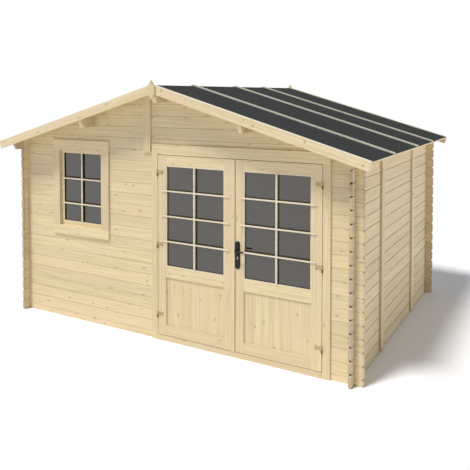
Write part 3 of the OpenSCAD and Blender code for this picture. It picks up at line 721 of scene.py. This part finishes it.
def new_shade_lining(name, *flank_rgb):
    """A dark lining that is painted shade. Its upright flanks may be bare wood."""
    finish, shader, place = new_finish(name, Specular_IOR_Level=0.2, Roughness=0.8)
    skin = noise(place, scale=60.0)
    # Painted shade: a nearly black colour for the lining behind bars and beads.
    lining_colour = blend(fade(skin, 0.3, 0.7), paint(0.085, 0.063, 0.034), paint(0.055, 0.041, 0.022))
    if flank_rgb:
        facing = {"Vector": place.twin("Normal")}
        sideways = Wire.add(place.tree, "ShaderNodeSeparateXYZ", None, facing, out="X")
        lining_colour = blend(abs_of(sideways) > FACES_SIDEWAYS, lining_colour, paint(*flank_rgb))
    feed(shader, Base_Color=lining_colour)
    return finish


# Linings of painted shade; on the doors their upright flanks are bare wood.
door_shade_lining = new_shade_lining("dark door seal", 0.82, 0.66, 0.40)
window_shade_lining = new_shade_lining("dark window seal")
print("bars and seals have their finishes")

# %% Lattices and painted-shade linings of both leaves and of the window
GROOVE = 0.008
PLATE_CLEAR = 0.002
BAR_PROUD = 0.010
DOOR = {"Bars": 3, "Bead": 0.008}
DOOR_SHADE_LINING = {"Bar": 0.016, "Post": 0.010, "Rise": 0.006, "Bead_Front": 0.009}
WINDOW = {"Bars": 2, "Bead": 0.002, "First": 0.280, "Step": 0.2707}
WINDOW_SHADE_LINING = {"Bar": 0.022, "Post": 0.015, "Rise": 0.009, "Bead_Front": 0.001}


def glaze(pane, face_node, body, runs, light, seal, seal_sizes):
    """The lattice and the painted-shade lining in front of one pane. runs are how far the cross bars lap onto
    the frame.
    """
    low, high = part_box(pane)
    edge = Vector((GROOVE, 0.0, GROOVE))
    low, high = low + edge, high - edge
    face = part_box(face_node)[0].y
    recess = low.y - face
    tall = high.z - low.z
    shared = {"Width": high.x - low.x, "Height": tall, "First": tall / 4, "Step": tall / 4,
              "Middle": (middle((low.x, high.x)), face, middle((low.z, high.z))), **light}
    lattice = lights.make(pane.replace("glass", "lattice"), bar_wood, Front=-BAR_PROUD,
                          Left_Run=runs[0], Right_Run=runs[1], **shared)
    settle(lattice, body, "joinery_wood")
    # Behind the lattice lies the dark lining that is painted shade.
    lining = lights.make(pane.replace("glass", "seal"), seal, Depth=recess, Left_Run=-light["Bead"],
                      Right_Run=-light["Bead"], Bead_Depth=recess - seal_sizes["Bead_Front"], Edge=FINE,
                      **seal_sizes, **shared)
    settle(lining, body, "black_metal")


plate_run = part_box("right_leaf_glass")[0].x + GROOVE - (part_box("handle_plates")[1].x + PLATE_CLEAR)
glaze("left_leaf_glass", "left_leaf_stiles", "left_leaf", (0.050, 0.056), DOOR, door_shade_lining, DOOR_SHADE_LINING)
glaze("right_leaf_glass", "right_leaf_stiles", "right_leaf", (plate_run, 0.050), DOOR, door_shade_lining, DOOR_SHADE_LINING)
glaze("window_glass", "window_sash", "cabin", (0.031, 0.005), WINDOW, window_shade_lining, WINDOW_SHADE_LINING)

# %% [markdown]
# ## Screws and nails
# Hinge plates and the handle are screwed on, and laths, battens and bargeboards are nailed or screwed too.
# A head is a flat cone with a cross cut into it. Each one stands on a point that knows which way it faces,
# and each is turned by a random angle, because nobody stops every screw at the same turn.

# %% The tree for fixings
fixings = Workshop("fixings", takes_geometry=True, Radius=0.004, Height=0.0014, Slot=0.001, Seed=4)
size = fixings.size
tree = fixings.tree
head = {"Vertices": 14, "Radius Top": size("Radius") * 0.75, "Radius Bottom": size("Radius"),
        "Depth": size("Height")}
head = fixings.add("GeometryNodeMeshCone", None, head)
blade = vector(tree, size("Radius") * 1.1, size("Slot"), size("Height"))
blade = fixings.add("GeometryNodeMeshCube", None, {"Size": blade})
lift = vector(tree, 0.0, 0.0, size("Height"))
cuts = [fixings.moved(blade, lift, (0.0, 0.0, turn)) for turn in (0.0, math.pi / 2)]
head = fixings.add("GeometryNodeMeshBoolean", {"operation": "DIFFERENCE"}, {"Mesh 1": head, "Mesh 2": cuts})
facing = fixings.add("GeometryNodeInputNamedAttribute", {"data_type": "FLOAT_VECTOR"}, {"Name": "facing"})
aim = fixings.add("FunctionNodeAlignRotationToVector", {"axis": "Z"}, {"Vector": facing})
spread = {2: 0.0, 3: math.pi, 8: size("Seed")}
spin = fixings.add("FunctionNodeRandomValue", {"data_type": "FLOAT"}, spread, out=1)
spin = fixings.add("FunctionNodeAxisAngleToRotation", None, {"Axis": (0.0, 0.0, 1.0), "Angle": spin})
turns = {"Rotation": aim, "Rotate By": spin}
aim = fixings.add("FunctionNodeRotateRotation", {"rotation_space": "LOCAL"}, turns)
points = {"Points": size("Geometry"), "Instance": head, "Rotation": aim}
fixings.close(fixings.add("GeometryNodeInstanceOnPoints", None, points))
print("tree for fixings:", len(tree.nodes), "nodes")

# %% Screws of the hinges and the handle
FRONT = (0.0, -1.0, 0.0)
BACK = (0.0, 1.0, 0.0)
HINGE_PLATE = 0.003
HINGE_SPOTS = ((0.012, 0.008), (0.034, 0.018), (0.012, 0.028))
PLATE_SCREW_IN = 0.016


def fix(name, body, slot, finish, places, **sizes):
    """Heads at places, a list of (point, facing)."""
    mesh = bpy.data.meshes.new(name + "_points")
    mesh.from_pydata([p for p, way in places], [], [])
    ways = mesh.attributes.new("facing", "FLOAT_VECTOR", "POINT")
    ways.data.foreach_set("vector", [c for p, way in places for c in way])
    settle(fixings.make(name, finish, start=mesh, **sizes), body, slot)


for side in ("left", "right"):
    low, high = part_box(side + "_leaf_hinges")
    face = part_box(side + "_leaf_stiles")[0].y - HINGE_PLATE
    inner, toward = (high.x, -1) if side == "left" else (low.x, 1)
    screws = []
    for _, top in spans(side + "_leaf_hinges", Z):
        screws += [((inner + toward * a, face, top - b), FRONT) for a, b in HINGE_SPOTS]
    fix(side + "_hinge_screws", side + "_leaf", "hinge_brass", bronze, screws)
low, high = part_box("handle_plates")
plate_mid = middle((low.x, high.x))
faces = ((low.y, FRONT), (high.y, BACK))
heights = (low.z + PLATE_SCREW_IN, high.z - PLATE_SCREW_IN)
screws = [((plate_mid, y, z), way) for z in heights for y, way in faces]
fix("handle_screws", "right_leaf", "black_metal", black, screws, Radius=0.0035)

# %% Nails of the laths, screws of the boards
LATH_NAILS = [0.12 + 0.31 * i for i in range(7)]
BARGE_SCREWS = (0.16, 0.95, 2.0)
BARGE_SCREW_DOWN = 0.06
BATTEN_SCREWS = (0.09, 0.55, 1.0, 1.45, 1.84)
GABLE_NAILS = [0.05 + 0.2 * i for i in range(3)]
BOTH_SLOPES = (-1, 1)
lath_points = [v.co for v in nodes["felt_laths"].data.vertices]
lath_top = max(p.x * math.sin(pitch) + p.z * math.cos(pitch) for p in lath_points if p.x > 0)
nails = []
for span in spans("felt_laths", Y):
    for x in LATH_NAILS:
        z = (lath_top - x * math.sin(pitch)) / math.cos(pitch)
        nails += [((s * x, middle(span), z), (s * math.sin(pitch), 0.0, math.cos(pitch)))
                  for s in BOTH_SLOPES]
low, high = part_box("bargeboards_right")
for x in BARGE_SCREWS:
    z = high.z - BARGE_SCREW_DOWN - x * math.tan(pitch)
    nails += [((s * x, y, z), way) for s in BOTH_SLOPES for y, way in ((low.y, FRONT), (high.y, BACK))]
low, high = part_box("side_wall_battens")
for span in spans("side_wall_battens", Y):
    for z in BATTEN_SCREWS:
        nails += [((x, middle(span), z), (way, 0.0, 0.0)) for x, way in ((low.x, -1.0), (high.x, 1.0))]
low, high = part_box("gable_board")
nails += [((middle((low.x, high.x)), low.y, low.z + up), FRONT) for up in GABLE_NAILS]
fix("nails_and_screws", "cabin", "black_metal", steel, nails, Radius=0.0038)

# %% [markdown]
# ## The lock cylinder
# Below the lever sits the end of a lock cylinder: a round plug with a flat web under it, in bright steel.
# It is a simple outline pushed out of the plate by one millimetre and a half, on both sides of the leaf.

# %% Lock cylinder
LOCK_BELOW = 0.070
PLUG_R = 0.0070
PLUG_OUT = 0.0015
PLUG_STEPS = 20
WEB = 0.0045
DROP = 0.020
low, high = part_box("handle_plates")
centre_z = middle([corner.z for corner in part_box("door_lever")]) - LOCK_BELOW
open_half = math.asin(WEB / PLUG_R)
sweep = 2 * math.pi - 2 * open_half
arc = [math.pi * 1.5 + open_half + sweep * i / PLUG_STEPS for i in range(PLUG_STEPS + 1)]
outline = [(PLUG_R * math.cos(a), PLUG_R * math.sin(a)) for a in arc] + [(-WEB, -DROP), (WEB, -DROP)]
shape = bmesh.new()
for y, way in ((low.y, -1), (high.y, 1)):
    ring = [shape.verts.new((plate_mid + x, y, centre_z + z)) for x, z in outline]
    face = shape.faces.new(ring)
    front = bmesh.ops.extrude_face_region(shape, geom=[face])["geom"]
    moved = [v for v in front if isinstance(v, bmesh.types.BMVert)]
    bmesh.ops.translate(shape, verts=moved, vec=(0.0, way * PLUG_OUT, 0.0))
bmesh.ops.recalc_face_normals(shape, faces=shape.faces)
plug_mesh = bpy.data.meshes.new("lock_cylinder")
shape.to_mesh(plug_mesh)
shape.free()
plug_mesh.materials.append(steel)
plug = bpy.data.objects.new("lock_cylinder", plug_mesh)
bpy.context.scene.collection.objects.link(plug)
settle(plug, "right_leaf", "black_metal")
print("lock cylinder at height", round(centre_z, 3))

# %% [markdown]
# ## Light and camera
# A studio for a building is simple: a white ground, a white sky and a soft sun from the front left, high
# up. Four wide lamps stand low around it, so that no side goes dark when the camera walks about. They are
# hidden from reflections, because the panes would show them. The camera stands where the photographer
# stood. Tall buildings are shown with upright edges, so most of the downward look comes from shifting the
# lens and little from tilting it.

# %% Ground and sky
GROUND_HALF = 60.0
GROUND_Z = -0.002
square = ((-1, -1), (1, -1), (1, 1), (-1, 1))
corners = [(x * GROUND_HALF, y * GROUND_HALF, GROUND_Z) for x, y in square]
ground_mesh = bpy.data.meshes.new("pale_ground")
ground_mesh.from_pydata(corners, [], [(0, 1, 2, 3)])
ground = bpy.data.objects.new("pale_ground", ground_mesh)
bpy.context.scene.collection.objects.link(ground)
pale = new_finish("pale ground", Base_Color=paint(1.0, 0.99, 0.985), Specular_IOR_Level=0.0)[0]
ground_mesh.materials.append(pale)

SKY_LIGHT = {"Color": paint(0.90, 1.00, 1.19), "Strength": 0.25}
SKY_SEEN = {"Color": paint(1.0, 1.0, 1.0), "Strength": 1.0}
world = bpy.data.worlds.new("white sky")
world.use_nodes = True
bpy.context.scene.world = world
sky_tree = world.node_tree
soft = Wire.add(sky_tree, "ShaderNodeBackground", None, SKY_LIGHT)
seen = Wire.add(sky_tree, "ShaderNodeBackground", None, SKY_SEEN)
to_camera = Wire.add(sky_tree, "ShaderNodeLightPath", out="Is Camera Ray")
sky = Wire.add(sky_tree, "ShaderNodeMixShader", None, {0: to_camera, 1: soft, 2: seen})
sky_tree.links.new(sky.socket, sky_tree.nodes["World Output"].inputs["Surface"])
print("ground", 2 * GROUND_HALF, "wide under a white sky")

# %% Sun and fill lamps
LOW = -0.05
SOFT = 12.0
WIDE = 20.0
LAMPS = {"sun": (2.53, SOFT, (0.185, 0.405, -0.901)),
         "right fill": (0.95, WIDE, (-0.87, -0.48, LOW)),
         "front fill": (0.23, WIDE, (0.25, 0.97, LOW)),
         "back fill": (0.7, WIDE, (0.3, -0.95, LOW)),
         "left fill": (0.7, WIDE, (0.9, -0.43, LOW))}
for name, (power, width, way) in LAMPS.items():
    lamp = bpy.data.objects.new(name, bpy.data.lights.new(name, "SUN"))
    lamp.data.energy = power
    lamp.data.angle = math.radians(width)
    lamp.rotation_euler = Vector(way).to_track_quat("-Z", "Y").to_euler()
    lamp.visible_glossy = name == "sun"
    bpy.context.scene.collection.objects.link(lamp)
bpy.context.scene.view_settings.view_transform = "Standard"
print("studio lit by", len(LAMPS), "lamps")

# %% Camera
LEVEL_LOOK = 90.0
TILT_DOWN = 2.0
TURN_LEFT = 29.855
camera_data = bpy.data.cameras.new("camera")
camera_data.sensor_width = 36.0
camera_data.lens = 46.939
camera_data.shift_x = 0.0283
camera_data.shift_y = -0.2537
camera = bpy.data.objects.new("camera", camera_data)
camera.location = (3.4707, -6.3487, 2.4355)
camera.rotation_euler = (math.radians(LEVEL_LOOK - TILT_DOWN), 0.0, math.radians(TURN_LEFT))
bpy.context.scene.collection.objects.link(camera)
bpy.context.scene.camera = camera
print("camera at", tuple(round(c, 3) for c in camera.location))
